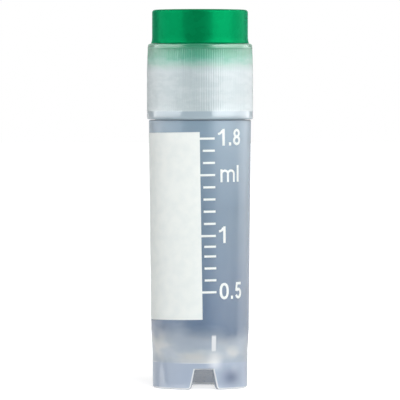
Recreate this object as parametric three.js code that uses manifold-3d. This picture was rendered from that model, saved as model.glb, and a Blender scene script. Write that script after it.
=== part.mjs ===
// A 2 ml self-standing cryogenic vial: a polypropylene tube with a notched foot and an outside
// screw thread, closed by a two-colour screw cap with a silicone sealing washer inside.
// Millimetres, +Z up. The origin is the centre of the foot, on the plane that the vial stands on.
// The -Y side is the front: one of the foot's notches is centred on it.

import * as THREE from 'three';
import { mergeVertices } from 'three/addons/utils/BufferGeometryUtils.js';
import Module from 'manifold-3d';

const wasm = await Module();
wasm.setup();

// ---------------------------------------------------------------- driving dimensions

// Tube
const BODY_DIAMETER = 12.5; // outside, at the shoulder under the cap
const BODY_WALL = 1.53; // at the shoulder
const SHOULDER_HEIGHT = 32.75; // foot plane to shoulder
const BODY_DRAFT_DEG = 0.61; // the outside narrows towards the foot
const BORE_DRAFT_DEG = 0.2;
const SHOULDER_ROUND = 0.15;

// Foot
const FOOT_RELIEF = 0.12; // the foot steps in by this much below the chamber
const FOOT_RELIEF_TOP = 7.2;
const FOOT_RELIEF_LENGTH = 2.7;
const FOOT_WALL = 1.05;
const FOOT_EDGE_ROUND = 0.28;
const UNDERSIDE_CLEARANCE = 1.4; // lowest point of the domed underside above the foot plane
const UNDERSIDE_FLATTENING = 2.1; // its dome's radius beyond the foot's inside
const FLOOR_THICKNESS = 1.65;
const GATE_RADIUS = 0.75; // stub left where the plastic was injected
const GATE_HEIGHT = 0.85;

// Notches that lock the foot into a rack, their sides radial
const NOTCH_COUNT = 3;
const NOTCH_HEIGHT = 2.5;
const NOTCH_TOP_WIDTH = 2.4;
const NOTCH_BASE_WIDTH = 3.5;
const NOTCH_CORNER = 0.5;

// Neck and thread
const NECK_HEIGHT = 6.35;
const NECK_WALL = 0.62;
const NECK_FILLET = 0.25;
const RIM_CHAMFER = 0.12;
const THREAD_PITCH = 2.8;
const THREAD_DEPTH = 0.43;
const THREAD_FLANK_DEG = 37; // off the radial direction
const THREAD_CREST_GAP = 0.1; // crest to root, on both threads
const THREAD_BEARING_GAP = 0.13; // between the flanks that draw the cap down
const THREAD_SLACK_GAP = 0.37; // between the other flanks
const NECK_THREAD_START = 1.15; // centre of the first turn above the shoulder
const NECK_THREAD_TOP = 1.0; // centre of the last turn below the rim
const CAP_THREAD_START = 0.85;
const CAP_THREAD_TOP = 2.0;
const THREAD_RUN_OUT = 0.08; // turns over which a thread fades out at each end

// Cap shell
const CAP_WALL = 0.61;
const CAP_GAP = 0.06; // skirt edge above the tube's shoulder
const CAP_BAND_HEIGHT = 1.0; // smooth ring below the ribs
const CAP_EDGE_ROUND = 0.15;
const CAP_TOP_ROUND = 0.3;
const CAP_TOP_TAPER = 0.11; // the skirt is this much smaller in radius at its top
const CAP_TAPER_LENGTH = 3.4;
const CAP_MOUTH_CHAMFER = 0.15;
const WEB_THICKNESS = 1.0; // the cap's roof, round the hole that the insert fills
const WEB_LEDGE = 0.82; // how far the roof reaches in from the skirt's inside
const RIB_COUNT = 136;
const RIB_DEPTH = 0.06;
const RIB_TOP_MARGIN = 0.3; // plain stretch between the ribs and the rounded top edge

// Colour insert
const KNOB_HEIGHT = 4.1; // above the cap shell
const KNOB_INSET = 0.64; // from the skirt's outside in to the knob
const KNOB_EDGE_ROUND = 0.35;
const KNOB_FLARE = 0.19;
const KNOB_FLARE_HEIGHT = 0.85;
const KNOB_ROOF = 1.3;
const KNOB_RIM_WIDTH = 0.41; // flat, round the shallow dish in the top
const KNOB_DISH_DEPTH = 0.2;
const INSERT_FLANGE = 1.1; // disc that traps the insert under the web
const INSERT_WALL = 0.62; // at the plug
const INSERT_CORE_ROUND = 0.4;
const PLUG_DEPTH = 0.6; // below the rim
const PLUG_CLEARANCE = 0.08;
const PLUG_ROUND = 0.25;

// Sealing washer
const WASHER_THICKNESS = 0.7;
const WASHER_ROUND = 0.14;
const SEAT_GAP = 0.05; // between faces that touch
const SIDE_GAP = 0.12; // between the rings and the inside of the skirt

// Fineness
const TURN_SEGMENTS = 68;
const THREAD_STEPS_PER_TURN = 34;
const ROUND_STEPS = 3;
const DOME_STEPS = 5;
const CHAMBER_STEPS = 9;
const MERGED = 0.1; // how far a joined form reaches into the one that carries it
const RIB_SINK = 0.015; // rib crests lie this far inside the plain rings above and below them

// ---------------------------------------------------------------- derived sizes

const bodyRadius = BODY_DIAMETER / 2;
const bodySlope = Math.tan(THREE.MathUtils.degToRad(BODY_DRAFT_DEG));
const boreSlope = Math.tan(THREE.MathUtils.degToRad(BORE_DRAFT_DEG));
const rimHeight = SHOULDER_HEIGHT + NECK_HEIGHT;
const rimBore = bodyRadius - BODY_WALL + NECK_HEIGHT * boreSlope;
const neckRadius = rimBore + NECK_WALL;
const chamberFloor = UNDERSIDE_CLEARANCE + FLOOR_THICKNESS;
const chamberRadius = bodyRadius - BODY_WALL - (SHOULDER_HEIGHT - chamberFloor) * boreSlope;

const skirtInside = neckRadius + THREAD_DEPTH + THREAD_CREST_GAP;
const capRadius = skirtInside + CAP_WALL;
const skirtBottom = SHOULDER_HEIGHT + CAP_GAP;
const washerBottom = rimHeight + SEAT_GAP;
const washerTop = washerBottom + WASHER_THICKNESS;
const flangeBottom = washerTop + SEAT_GAP;
const flangeTop = flangeBottom + INSERT_FLANGE;
const webBottom = flangeTop + SEAT_GAP;
const capTop = webBottom + WEB_THICKNESS;
const webHole = skirtInside - WEB_LEDGE;
const ribBottom = skirtBottom + CAP_BAND_HEIGHT;
const ribTop = capTop - CAP_TOP_ROUND - RIB_TOP_MARGIN;

const threadRoot = (THREAD_PITCH - THREAD_BEARING_GAP - THREAD_SLACK_GAP) / 2;
const threadCrest = threadRoot - 2 * THREAD_DEPTH * Math.tan(THREE.MathUtils.degToRad(THREAD_FLANK_DEG));
const bearingShift = (THREAD_SLACK_GAP - THREAD_BEARING_GAP) / 2;

const ringRadius = skirtInside - SIDE_GAP;
const knobRadius = capRadius - KNOB_INSET;
const knobTop = capTop + SEAT_GAP + KNOB_HEIGHT;
const plugRadius = rimBore - PLUG_CLEARANCE;
const plugBottom = rimHeight - PLUG_DEPTH;
const insertCore = plugRadius - INSERT_WALL;
const dishRadius = knobRadius - KNOB_EDGE_ROUND - KNOB_RIM_WIDTH - KNOB_DISH_DEPTH;

// Outside radius of the tube at a height, with the foot's relief.
function bodyRadiusAt(z) {
  const relief = THREE.MathUtils.clamp((FOOT_RELIEF_TOP - z) / FOOT_RELIEF_LENGTH, 0, 1);
  return bodyRadius - (SHOULDER_HEIGHT - z) * bodySlope - FOOT_RELIEF * relief;
}

// Radius of the cap's skirt at a height: straight, then tapered to the top.
function skirtRadiusAt(z) {
  const taper = THREE.MathUtils.clamp((z - capTop + CAP_TAPER_LENGTH) / CAP_TAPER_LENGTH, 0, 1);
  return capRadius - CAP_TOP_TAPER * taper;
}

// ---------------------------------------------------------------- forms

const point = (r, z) => new THREE.Vector2(r, z);

// Points of an arc in the half plane of a profile. Angles are in degrees, 0 points outwards.
function arc(r, z, radiusR, radiusZ, fromDeg, toDeg, steps = ROUND_STEPS) {
  const from = THREE.MathUtils.degToRad(fromDeg);
  const to = THREE.MathUtils.degToRad(toDeg);
  return new THREE.EllipseCurve(r, z, radiusR, radiusZ, from, to, to < from).getPoints(steps);
}

// A turned form from the (radius, height) points of its section.
function turned(points) {
  return new THREE.LatheGeometry(points, TURN_SEGMENTS).rotateX(Math.PI / 2);
}

function solid(geometry) {
  const bare = geometry.clone();
  bare.deleteAttribute('normal');
  bare.deleteAttribute('uv');
  const merged = mergeVertices(bare, 1e-4);
  return new wasm.Manifold(new wasm.Mesh({
    numProp: 3,
    vertProperties: merged.attributes.position.array,
    triVerts: new Uint32Array(merged.index.array),
  }));
}

function geometryOf(made) {
  const mesh = made.getMesh();
  const geometry = new THREE.BufferGeometry();
  geometry.setAttribute('position', new THREE.BufferAttribute(mesh.vertProperties, 3));
  geometry.setIndex(new THREE.BufferAttribute(mesh.triVerts, 1));
  geometry.computeVertexNormals();
  return geometry;
}

// A screw thread's ridge on a wall of the given radius, standing outwards (side 1) or inwards
// (side -1). Its trapezoid section is extruded straight, then wound up the helix, and its crest
// sinks into the wall at both ends.
function threadRidge(wallRadius, side, startHeight, startTurn, turns) {
  const flankSlope = (threadRoot - threadCrest) / 2 / THREAD_DEPTH;
  const halfBase = threadRoot / 2 + flankSlope * MERGED;
  const section = new THREE.Shape([
    point(-halfBase, -MERGED),
    point(halfBase, -MERGED),
    point(threadCrest / 2, THREAD_DEPTH),
    point(-threadCrest / 2, THREAD_DEPTH),
  ]);
  const ridge = new THREE.ExtrudeGeometry(section, {
    depth: turns,
    steps: Math.round(turns * THREAD_STEPS_PER_TURN),
    bevelEnabled: false,
  });
  const sunk = MERGED / 2 / (THREAD_DEPTH + MERGED);
  const place = ridge.attributes.position;
  for (let i = 0; i < place.count; i++) {
    const along = place.getZ(i);
    const fade = THREE.MathUtils.smoothstep(Math.min(along, turns - along), 0, THREAD_RUN_OUT);
    const grown = THREE.MathUtils.lerp(sunk, 1, fade);
    const radius = wallRadius + side * THREE.MathUtils.lerp(-MERGED, place.getY(i), grown);
    const angle = 2 * Math.PI * (startTurn + along);
    const height = startHeight + side * place.getX(i) + THREAD_PITCH * along;
    place.setXYZ(i, radius * Math.cos(angle), radius * Math.sin(angle), height);
  }
  return ridge;
}

// ---------------------------------------------------------------- tube

function tubeProfile() {
  const footRadius = bodyRadiusAt(0);
  const footInside = footRadius - FOOT_WALL;
  const undersideRadius = footInside + UNDERSIDE_FLATTENING;
  const reliefBottom = FOOT_RELIEF_TOP - FOOT_RELIEF_LENGTH;
  const edge = FOOT_EDGE_ROUND;
  const shoulder = SHOULDER_ROUND;
  const underside = new THREE.EllipseCurve(
    0,
    UNDERSIDE_CLEARANCE + undersideRadius,
    undersideRadius,
    undersideRadius,
    -Math.acos(GATE_RADIUS / undersideRadius),
    -Math.acos(footInside / undersideRadius),
  );
  return [
    point(0, UNDERSIDE_CLEARANCE - GATE_HEIGHT),
    point(GATE_RADIUS * 0.8, UNDERSIDE_CLEARANCE - GATE_HEIGHT),
    ...underside.getPoints(DOME_STEPS),
    point(footInside, edge / 2),
    point(footInside + edge / 2, 0),
    ...arc(footRadius - edge, edge, edge, edge, -90, 0),
    point(bodyRadiusAt(reliefBottom), reliefBottom),
    point(bodyRadiusAt(FOOT_RELIEF_TOP), FOOT_RELIEF_TOP),
    ...arc(bodyRadius - shoulder, SHOULDER_HEIGHT - shoulder, shoulder, shoulder, 0, 90),
    ...arc(neckRadius + NECK_FILLET, SHOULDER_HEIGHT + NECK_FILLET, NECK_FILLET, NECK_FILLET, -90, -180),
    point(neckRadius, rimHeight - RIM_CHAMFER),
    point(neckRadius - RIM_CHAMFER, rimHeight),
    point(rimBore + RIM_CHAMFER, rimHeight),
    point(rimBore, rimHeight - RIM_CHAMFER),
    ...arc(0, chamberFloor + chamberRadius, chamberRadius, chamberRadius, 0, -90, CHAMBER_STEPS),
  ];
}

// A notch's cutter. Its outline widens to the foot plane, with rounded corners there, and it
// narrows towards the axis, so that the cut's sides are radial.
function notchCutter() {
  const base = NOTCH_BASE_WIDTH / 2;
  const slope = (NOTCH_BASE_WIDTH - NOTCH_TOP_WIDTH) / 2 / NOTCH_HEIGHT;
  const shoulder = base - slope * NOTCH_CORNER;
  const outline = new THREE.Shape();
  outline.moveTo(base + NOTCH_CORNER, -1);
  outline.lineTo(base + NOTCH_CORNER, 0);
  outline.quadraticCurveTo(base, 0, shoulder, NOTCH_CORNER);
  outline.lineTo(NOTCH_TOP_WIDTH / 2, NOTCH_HEIGHT);
  outline.lineTo(-NOTCH_TOP_WIDTH / 2, NOTCH_HEIGHT);
  outline.lineTo(-shoulder, NOTCH_CORNER);
  outline.quadraticCurveTo(-base, 0, -base - NOTCH_CORNER, 0);
  outline.lineTo(-base - NOTCH_CORNER, -1);
  outline.closePath();
  const outside = bodyRadiusAt(0);
  const inner = outside - FOOT_WALL - MERGED;
  const cutter = new THREE.ExtrudeGeometry(outline, {
    depth: outside + MERGED - inner,
    bevelEnabled: false,
    curveSegments: ROUND_STEPS,
  });
  cutter.rotateX(Math.PI / 2).translate(0, -inner, 0);
  const place = cutter.attributes.position;
  for (let i = 0; i < place.count; i++) {
    place.setX(i, (place.getX(i) * -place.getY(i)) / outside);
  }
  return cutter;
}

function tube() {
  const threadStart = SHOULDER_HEIGHT + NECK_THREAD_START;
  const turns = (rimHeight - NECK_THREAD_TOP - threadStart) / THREAD_PITCH;
  let made = solid(turned(tubeProfile())).add(solid(threadRidge(neckRadius, 1, threadStart, 0, turns)));
  for (let i = 0; i < NOTCH_COUNT; i++) {
    made = made.subtract(solid(notchCutter().rotateZ((2 * Math.PI * i) / NOTCH_COUNT)));
  }
  return geometryOf(made);
}

// ---------------------------------------------------------------- cap shell

function shellProfile() {
  const edge = CAP_EDGE_ROUND;
  const core = RIB_DEPTH + MERGED;
  const topRadius = skirtRadiusAt(capTop) - CAP_TOP_ROUND;
  const profile = [
    point(skirtInside + CAP_MOUTH_CHAMFER, skirtBottom),
    ...arc(capRadius - edge, skirtBottom + edge, edge, edge, -90, 0),
    point(capRadius, ribBottom),
    point(capRadius - core, ribBottom),
    point(skirtRadiusAt(ribTop) - core, ribTop),
    point(skirtRadiusAt(ribTop), ribTop),
    ...arc(topRadius, capTop - CAP_TOP_ROUND, CAP_TOP_ROUND, CAP_TOP_ROUND, 0, 90),
    point(webHole, capTop),
    point(webHole, webBottom),
    point(skirtInside, webBottom),
    point(skirtInside, skirtBottom + CAP_MOUTH_CHAMFER),
  ];
  return [...profile, profile[0].clone()];
}

// The ring of grip ribs. It is extruded straight in two lengths, then drawn in along its upper
// length to follow the skirt's taper.
function ribRing() {
  const bottom = ribBottom - MERGED;
  const height = ribTop + MERGED - bottom;
  const crest = capRadius - RIB_SINK;
  const corners = Array.from({ length: RIB_COUNT * 2 }, (_, i) => {
    const radius = i % 2 ? crest - RIB_DEPTH : crest;
    const angle = (Math.PI * i) / RIB_COUNT - Math.PI / 2;
    return point(radius * Math.cos(angle), radius * Math.sin(angle));
  });
  const outline = new THREE.Shape(corners);
  outline.holes.push(new THREE.Path().absarc(0, 0, skirtInside + CAP_WALL / 3, 0, 2 * Math.PI, true));
  const ring = new THREE.ExtrudeGeometry(outline, {
    depth: height,
    steps: 2,
    bevelEnabled: false,
    curveSegments: TURN_SEGMENTS / 2,
  });
  const place = ring.attributes.position;
  for (let i = 0; i < place.count; i++) {
    const along = place.getZ(i) / height;
    const atMiddle = Math.abs(along - 0.5) < 0.25;
    const z = atMiddle ? capTop - CAP_TAPER_LENGTH : bottom + height * along;
    const drawn = skirtRadiusAt(z) / capRadius;
    place.setXYZ(i, place.getX(i) * drawn, place.getY(i) * drawn, z);
  }
  return ring;
}

function capShell() {
  const threadStart = SHOULDER_HEIGHT + CAP_THREAD_START;
  const turns = (rimHeight - CAP_THREAD_TOP - threadStart) / THREAD_PITCH;
  const climb = CAP_THREAD_START - NECK_THREAD_START - bearingShift;
  const thread = threadRidge(skirtInside, -1, threadStart, 0.5 + climb / THREAD_PITCH, turns);
  return geometryOf(solid(turned(shellProfile())).add(solid(ribRing())).add(solid(thread)));
}

// ---------------------------------------------------------------- colour insert and washer

function insertProfile() {
  const seat = capTop + SEAT_GAP;
  const edge = KNOB_EDGE_ROUND;
  const ceiling = knobTop - KNOB_DISH_DEPTH - KNOB_ROOF;
  const round = INSERT_CORE_ROUND;
  return [
    point(0, ceiling),
    ...arc(insertCore - round, ceiling - round, round, round, 90, 0),
    point(insertCore, plugBottom),
    ...arc(plugRadius - PLUG_ROUND, plugBottom + PLUG_ROUND, PLUG_ROUND, PLUG_ROUND, -90, 0),
    point(plugRadius, flangeBottom),
    point(ringRadius, flangeBottom),
    point(ringRadius, flangeTop),
    point(webHole - SEAT_GAP, flangeTop),
    point(webHole - SEAT_GAP, seat),
    ...arc(knobRadius + KNOB_FLARE, seat + KNOB_FLARE_HEIGHT, KNOB_FLARE, KNOB_FLARE_HEIGHT, -90, -180),
    ...arc(knobRadius - edge, knobTop - edge, edge, edge, 0, 90),
    point(dishRadius + KNOB_DISH_DEPTH, knobTop),
    point(dishRadius, knobTop - KNOB_DISH_DEPTH),
    point(0, knobTop - KNOB_DISH_DEPTH),
  ];
}

function washerProfile() {
  const inner = plugRadius + SEAT_GAP;
  const profile = [
    point(inner, washerBottom),
    ...arc(ringRadius - WASHER_ROUND, washerBottom + WASHER_ROUND, WASHER_ROUND, WASHER_ROUND, -90, 0, 1),
    ...arc(ringRadius - WASHER_ROUND, washerTop - WASHER_ROUND, WASHER_ROUND, WASHER_ROUND, 0, 90, 1),
    point(inner, washerTop),
  ];
  return [...profile, profile[0].clone()];
}

// ---------------------------------------------------------------- assembly

const naturalPlastic = new THREE.MeshStandardMaterial({
  color: 0xa9b8c8,
  roughness: 0.38,
  metalness: 0,
  transparent: true,
  opacity: 0.8,
});
const frostedPlastic = new THREE.MeshStandardMaterial({
  color: 0xd5dde2,
  roughness: 0.45,
  metalness: 0,
  transparent: true,
  opacity: 0.85,
});
const greenPlastic = new THREE.MeshStandardMaterial({ color: 0x0a9a5c, roughness: 0.35, metalness: 0 });
const silicone = new THREE.MeshStandardMaterial({ color: 0xe4e6e2, roughness: 0.6, metalness: 0 });

function piece(name, geometry, material) {
  const mesh = new THREE.Mesh(geometry, material);
  mesh.name = name;
  return mesh;
}

const cap = new THREE.Group();
cap.add(
  piece('cap_shell', capShell(), frostedPlastic),
  piece('color_insert', turned(insertProfile()), greenPlastic),
  piece('sealing_washer', turned(washerProfile()), silicone),
);

const vial = new THREE.Group();
vial.add(piece('vial_body', tube(), naturalPlastic), cap);

export default vial;
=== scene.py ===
import bmesh
import bpy
import math
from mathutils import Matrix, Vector


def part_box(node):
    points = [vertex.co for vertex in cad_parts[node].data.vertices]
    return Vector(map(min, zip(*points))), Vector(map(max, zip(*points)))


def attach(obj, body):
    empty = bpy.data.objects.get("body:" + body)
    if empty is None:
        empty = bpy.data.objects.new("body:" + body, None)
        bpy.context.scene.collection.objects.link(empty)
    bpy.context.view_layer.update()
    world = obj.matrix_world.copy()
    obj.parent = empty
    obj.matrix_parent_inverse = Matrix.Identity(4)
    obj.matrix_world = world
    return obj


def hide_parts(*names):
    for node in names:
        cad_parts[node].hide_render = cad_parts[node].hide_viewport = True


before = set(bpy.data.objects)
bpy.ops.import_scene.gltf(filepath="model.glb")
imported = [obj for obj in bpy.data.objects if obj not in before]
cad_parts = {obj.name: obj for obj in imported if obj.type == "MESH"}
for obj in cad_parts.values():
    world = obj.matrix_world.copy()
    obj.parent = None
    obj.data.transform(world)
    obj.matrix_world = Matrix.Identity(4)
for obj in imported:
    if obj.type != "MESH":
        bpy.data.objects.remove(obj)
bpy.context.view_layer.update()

# ---------------------------------------------------------------- camera
# A long lens a good half metre away, a little left of the front and just above the vial's middle,
# looking slightly down at it.

MM = 0.001
CAMERA_DISTANCE = 557 * MM
CAMERA_HEIGHT = 35.4 * MM
CAMERA_AZIMUTH = math.radians(-4.9)
AIM_HEIGHT = 22.94 * MM
LENS_MM = 409.6

scene = bpy.context.scene
scene.view_settings.view_transform = "Standard"

lens = bpy.data.cameras.new("camera")
lens.lens = LENS_MM
camera = bpy.data.objects.new("camera", lens)
camera.location = (
    CAMERA_DISTANCE * math.sin(CAMERA_AZIMUTH),
    -CAMERA_DISTANCE * math.cos(CAMERA_AZIMUTH),
    CAMERA_HEIGHT,
)
line_of_sight = Vector((0, 0, AIM_HEIGHT)) - camera.location
camera.rotation_euler = line_of_sight.to_track_quat("-Z", "Y").to_euler()
scene.collection.objects.link(camera)
scene.camera = camera

# ---------------------------------------------------------------- tube
# The tube is injection moulded in one piece from natural polypropylene, which is cloudy and pale
# blue-grey. It has a round-bottomed chamber, a foot that it stands on, three notches in the foot
# that lock it into a rack, and a coarse outside thread on its neck.

tube_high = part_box("vial_body")[1]
TUBE_RADIUS = tube_high.x / MM
RIM_HEIGHT = tube_high.z / MM
SHOULDER_HEIGHT = 32.75
TUBE_WALL = 1.53
OUTSIDE_SLOPE = math.tan(math.radians(0.61))
BORE_SLOPE = math.tan(math.radians(0.2))
SHOULDER_ROUND = 0.15
WALL_ROWS = (12, 18, 24, 29)
FOOT_RELIEF = 0.12
FOOT_RELIEF_TOP = 7.2
FOOT_RELIEF_LENGTH = 2.7
FOOT_WALL = 1.05
FOOT_EDGE_ROUND = 0.28
UNDERSIDE_CLEARANCE = 1.4
UNDERSIDE_FLATTENING = 2.1
FLOOR_THICKNESS = 1.65
GATE_RADIUS = 0.75
GATE_END_RADIUS = 0.525
GATE_HEIGHT = 0.85
GATE_BEVEL_WIDTH = 0.075
GATE_BEVEL_HEIGHT = 0.05
NECK_WALL = 0.62
NECK_FILLET = 0.25
RIM_CHAMFER = 0.12
TUBE_FACETS = 192
SAME_POINT = 1e-4


def arc(r, z, radius, start, end, steps=8, rise=None):
    """Points of an arc in a section, r outwards and z up. Angles are in degrees, 0 outwards. A
    rise, where it has one, is its radius upwards."""
    rise = rise or radius
    angles = [math.radians(start + (end - start) * i / steps) for i in range(steps + 1)]
    return [(r + radius * math.cos(a), z + rise * math.sin(a)) for a in angles]


def turned(name, section, facets, ring=False):
    """A closed turned form, from the (radius, height) points of its section in millimetres."""
    steps = [2 * math.pi * i / facets - math.pi / 2 for i in range(facets)]
    form = bmesh.new()
    rows = []
    last = None
    for radius, height in section:
        if last and math.dist(last, (radius, height)) < SAME_POINT:
            continue
        last = (radius, height)
        spots = steps if radius > SAME_POINT else steps[:1]
        rows.append([
            form.verts.new((radius * MM * math.cos(a), radius * MM * math.sin(a), height * MM))
            for a in spots
        ])
    above = rows[1:] + (rows[:1] if ring else [])
    for low, high in zip(rows, above):
        for i in range(facets):
            corners = [low[i % len(low)], low[(i + 1) % facets % len(low)]]
            corners += [high[(i + 1) % facets % len(high)], high[i % len(high)]]
            form.faces.new(list(dict.fromkeys(corners)))
    return finished(name, form)


def finished(name, form):
    """A form made into an object of that name, with its faces pointing outwards."""
    bmesh.ops.recalc_face_normals(form, faces=form.faces)
    mesh = bpy.data.meshes.new(name)
    form.to_mesh(mesh)
    form.free()
    made = bpy.data.objects.new(name, mesh)
    scene.collection.objects.link(made)
    return made


def settle(made):
    """Turns an object's modifiers into plain mesh, with its faces pointing outwards."""
    graph = bpy.context.evaluated_depsgraph_get()
    mesh = bpy.data.meshes.new_from_object(made.evaluated_get(graph))
    made.modifiers.clear()
    form = bmesh.new()
    form.from_mesh(mesh)
    bmesh.ops.remove_doubles(form, verts=form.verts, dist=SAME_POINT * MM)
    bmesh.ops.recalc_face_normals(form, faces=form.faces)
    form.to_mesh(mesh)
    form.free()
    made.data = mesh
    mesh.name = made.name


def combine(made, tool, operation):
    """Joins a tool to an object or cuts the object with it. The tool is used up."""
    modifier = made.modifiers.new("combine", "BOOLEAN")
    modifier.solver = "MANIFOLD"
    modifier.operation = operation
    modifier.object = tool
    settle(made)
    bpy.data.objects.remove(tool)


def dress(made, material, crease=28):
    """Gives an object its one material, and shades it smooth but for its sharp edges, which are
    those that turn through more than the crease angle in degrees."""
    made.data.materials.clear()
    made.data.materials.append(material)
    made.data.shade_smooth()
    made.data.set_sharp_from_angle(angle=math.radians(crease))


def tube_radius_at(z):
    """The tube's outside radius at a height. It tapers downwards, and a little more at the foot."""
    relief = min(max((FOOT_RELIEF_TOP - z) / FOOT_RELIEF_LENGTH, 0), 1)
    return TUBE_RADIUS - (SHOULDER_HEIGHT - z) * OUTSIDE_SLOPE - FOOT_RELIEF * relief


bore_radius = TUBE_RADIUS - TUBE_WALL + (RIM_HEIGHT - SHOULDER_HEIGHT) * BORE_SLOPE
neck_radius = bore_radius + NECK_WALL
chamber_floor = UNDERSIDE_CLEARANCE + FLOOR_THICKNESS
chamber_radius = TUBE_RADIUS - TUBE_WALL - (SHOULDER_HEIGHT - chamber_floor) * BORE_SLOPE

foot_radius = tube_radius_at(0)
foot_inside = foot_radius - FOOT_WALL
underside_radius = foot_inside + UNDERSIDE_FLATTENING
underside_centre = UNDERSIDE_CLEARANCE + underside_radius
gate_side = -math.degrees(math.acos(GATE_RADIUS / underside_radius))
foot_side = -math.degrees(math.acos(foot_inside / underside_radius))
relief_bottom = FOOT_RELIEF_TOP - FOOT_RELIEF_LENGTH
gate_bottom = UNDERSIDE_CLEARANCE - GATE_HEIGHT
edge = FOOT_EDGE_ROUND

tube_section = [
    (0, gate_bottom),
    (GATE_END_RADIUS, gate_bottom),
    (GATE_END_RADIUS + GATE_BEVEL_WIDTH, gate_bottom + GATE_BEVEL_HEIGHT),
    *arc(0, underside_centre, underside_radius, gate_side, foot_side, 16),
    (foot_inside, edge / 2),
    *arc(foot_inside + edge / 2, edge / 2, edge / 2, 180, 270, 4),
    *arc(foot_radius - edge, edge, edge, -90, 0),
    (tube_radius_at(relief_bottom), relief_bottom),
    (tube_radius_at(FOOT_RELIEF_TOP), FOOT_RELIEF_TOP),
    *[(tube_radius_at(z), z) for z in WALL_ROWS],
    *arc(TUBE_RADIUS - SHOULDER_ROUND, SHOULDER_HEIGHT - SHOULDER_ROUND, SHOULDER_ROUND, 0, 90),
    *arc(neck_radius + NECK_FILLET, SHOULDER_HEIGHT + NECK_FILLET, NECK_FILLET, -90, -180),
    *arc(neck_radius - RIM_CHAMFER, RIM_HEIGHT - RIM_CHAMFER, RIM_CHAMFER, 0, 90, 4),
    *arc(bore_radius + RIM_CHAMFER, RIM_HEIGHT - RIM_CHAMFER, RIM_CHAMFER, 90, 180, 4),
    *arc(0, chamber_floor + chamber_radius, chamber_radius, 0, -90, 32),
]
tube_section[-1] = (0, chamber_floor)
tube = turned("tube", tube_section, TUBE_FACETS)


def feed(group, node, inputs):
    """Gives a node's inputs their plain values, or other nodes' outputs."""
    for name, value in inputs.items():
        if isinstance(value, bpy.types.NodeSocket):
            group.links.new(value, node.inputs[name])
        else:
            node.inputs[name].default_value = value


def add(group, kind, inputs=None, **settings):
    """A new node in a tree. Its settings come before its inputs, because they can change them."""
    made = group.nodes.new(kind)
    for name, value in settings.items():
        setattr(made, name, value)
    feed(group, made, inputs or {})
    return made


def calc(group, operation, *values):
    """One sum in a node tree, on plain values and other nodes' outputs."""
    made = add(group, "ShaderNodeMath", dict(enumerate(values)), operation=operation)
    return made.outputs[0]


def both(group, first, *others):
    """Where every one of some shares from 0 to 1 holds: their product."""
    for other in others:
        first = calc(group, "MULTIPLY", first, other)
    return first


def either(group, first, *others):
    """Where any one of some shares from 0 to 1 holds: the largest of them."""
    for other in others:
        first = calc(group, "MAXIMUM", first, other)
    return first


def spread(group, value, low, high, start=0.0, end=1.0, kind="SMOOTHSTEP"):
    """A value between low and high, read as between start and end."""
    values = {"Value": value, "From Min": low, "From Max": high, "To Min": start, "To Max": end}
    return add(group, "ShaderNodeMapRange", values, interpolation_type=kind).outputs[0]


def over(group, length, span, start=0.0, end=1.0, kind="SMOOTHSTEP"):
    """A length read over a span in millimetres, from where a look begins to where it is full."""
    return spread(group, length, span[0] * MM, span[1] * MM, start, end, kind)


def band(group, length, span, soft):
    """1 where a length lies within a span in millimetres, dying away softly outside it."""
    begun = over(group, length, (span[0] - soft, span[0] + soft))
    return both(group, begun, over(group, length, (span[1] + soft, span[1] - soft)))


def blend(group, share, first, second):
    """Two colours mixed by a share from 0 to 1."""
    made = add(group, "ShaderNodeMix", {0: share, 6: first, 7: second}, data_type="RGBA")
    return made.outputs[2]


def axes_of(group, place):
    """The X, Y and Z of a place."""
    return add(group, "ShaderNodeSeparateXYZ", {0: place}).outputs


def from_axis(group, axes):
    """How far a place is from the vial's upright middle line."""
    squares = [calc(group, "MULTIPLY", axes[name], axes[name]) for name in "XY"]
    return calc(group, "SQRT", calc(group, "ADD", *squares))


def material_tree(name):
    """A new material, its node tree, its main shader node, and the place on the object."""
    made = bpy.data.materials.new(name)
    made.use_nodes = True
    tree = made.node_tree
    place = add(tree, "ShaderNodeTexCoord").outputs["Object"]
    return made, tree, tree.nodes["Principled BSDF"], place


def noise(group, place, scale, detail=2.0, stretch=(1, 1, 1), roughness=0.5):
    """Cloudy noise on object coordinates, its scale in patches to a metre."""
    moved = add(group, "ShaderNodeMapping", {"Vector": place, "Scale": stretch})
    values = {"Vector": moved.outputs[0], "Scale": scale, "Detail": detail, "Roughness": roughness}
    return add(group, "ShaderNodeTexNoise", values).outputs[0]


def bumped(group, height, strength, depth=0.004):
    """The lie of a surface that has a fine relief, its depth in millimetres."""
    values = {"Height": height, "Strength": strength, "Distance": depth * MM}
    return add(group, "ShaderNodeBump", values).outputs[0]


# The moulded plastic is cloudy and see-through, with faint flow lines. Near the shoulder its
# colour is painted lighter, as painted light, and its tint deepens from there down to the bottom
# of the chamber. A span is in millimetres, as heights or as distances from the middle line or an
# edge, and goes from where a look begins to where it is full.
POLYPROPYLENE_IOR = 1.49
MIDDLE_TINT = (0.085, 0.185, 0.295, 1)
SHOULDER_LIGHT_TINT = (0.21, 0.34, 0.455, 1)
SHOULDER_SPAN = (22, 31)
LOW_TINT = (0.045, 0.125, 0.255, 1)
LOW_SPAN = (20, 10)
FLOW_LINE_TINT = (0.16, 0.25, 0.35, 1)
FLOW_LINE_SHARE = 0.25

natural_plastic, plastic, surface, place = material_tree("natural_polypropylene")
axes = axes_of(plastic, place)
across = from_axis(plastic, axes)
flow = noise(plastic, place, 260.0, 3.0, stretch=(1, 1, 0.25))
cloud = noise(plastic, place, 260.0, 2.0, stretch=(1, 1, 1.9), roughness=0.35)

# Painted light: the wall is lighter towards the shoulder.
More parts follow.
